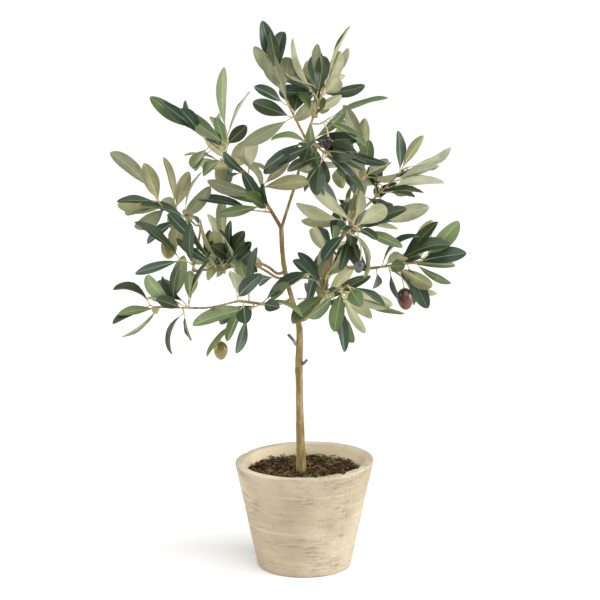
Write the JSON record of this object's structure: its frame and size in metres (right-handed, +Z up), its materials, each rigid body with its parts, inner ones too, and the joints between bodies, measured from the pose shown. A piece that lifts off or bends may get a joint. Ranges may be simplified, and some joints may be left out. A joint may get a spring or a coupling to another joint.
{
  "type": "artificial potted olive tree",
  "caption": "Artificial tabletop olive tree: slim forked trunk with cut stubs, tapering boughs and open leafy sprays, in a plain tapered weathered pot with mossy fill.",
  "frame": {"origin": "centre of the pot's flat underside, on the surface it stands on", "axes": "+Z up along the pot's axis, +X to the right seen from the front, +Y away from the viewer"},
  "size_m": [0.3611, 0.2109, 0.5563],
  "materials": {
    "pot": "weathered beige stone wash, matte",
    "soil": "dark brown dried moss, matte",
    "bark": "tan moulded bark and wrap, matte",
    "leaf": "printed polyester leaf cloth, soft satin"
  },
  "bodies": {
    "root": {"pot": "pot", "soil": "soil", "trunk": "bark", "mass_top": "leaf", "mass_top_left": "leaf", "mass_top_back": "leaf", "mass_crown_front": "leaf", "mass_crown_back": "leaf", "mass_right_upper": "leaf", "mass_right_tip": "leaf", "mass_right_mid": "leaf", "mass_right_back": "leaf", "mass_right_low": "leaf", "mass_centre": "leaf", "mass_low_front": "leaf", "mass_low_back": "leaf", "mass_upper_left": "leaf", "mass_upper_left_tip": "leaf", "mass_upper_back": "leaf", "mass_far_left": "leaf", "mass_left_mid": "leaf", "mass_left_back": "leaf", "mass_low_left": "leaf", "mass_low_left_tip": "leaf", "bough_left": "bark", "bough_right": "bark", "bough_low_right": "bark", "bough_low_left": "bark", "bough_mid_left": "bark", "bough_left_back": "bark", "bough_low_back": "bark", "bough_crossing": "bark", "bough_top": "bark", "bough_top_left": "bark", "bough_top_back": "bark", "bough_upper_left": "bark", "bough_upper_back": "bark", "bough_mid_right": "bark", "bough_shoulder": "bark", "bough_right_tip": "bark", "bough_crown_back": "bark", "bough_right_low": "bark", "bough_right_back": "bark", "bough_low_front": "bark", "bough_far_left": "bark", "bough_low_left_tip": "bark", "stub_left": "bark", "stub_right": "bark"}
  },
  "joints": []
}
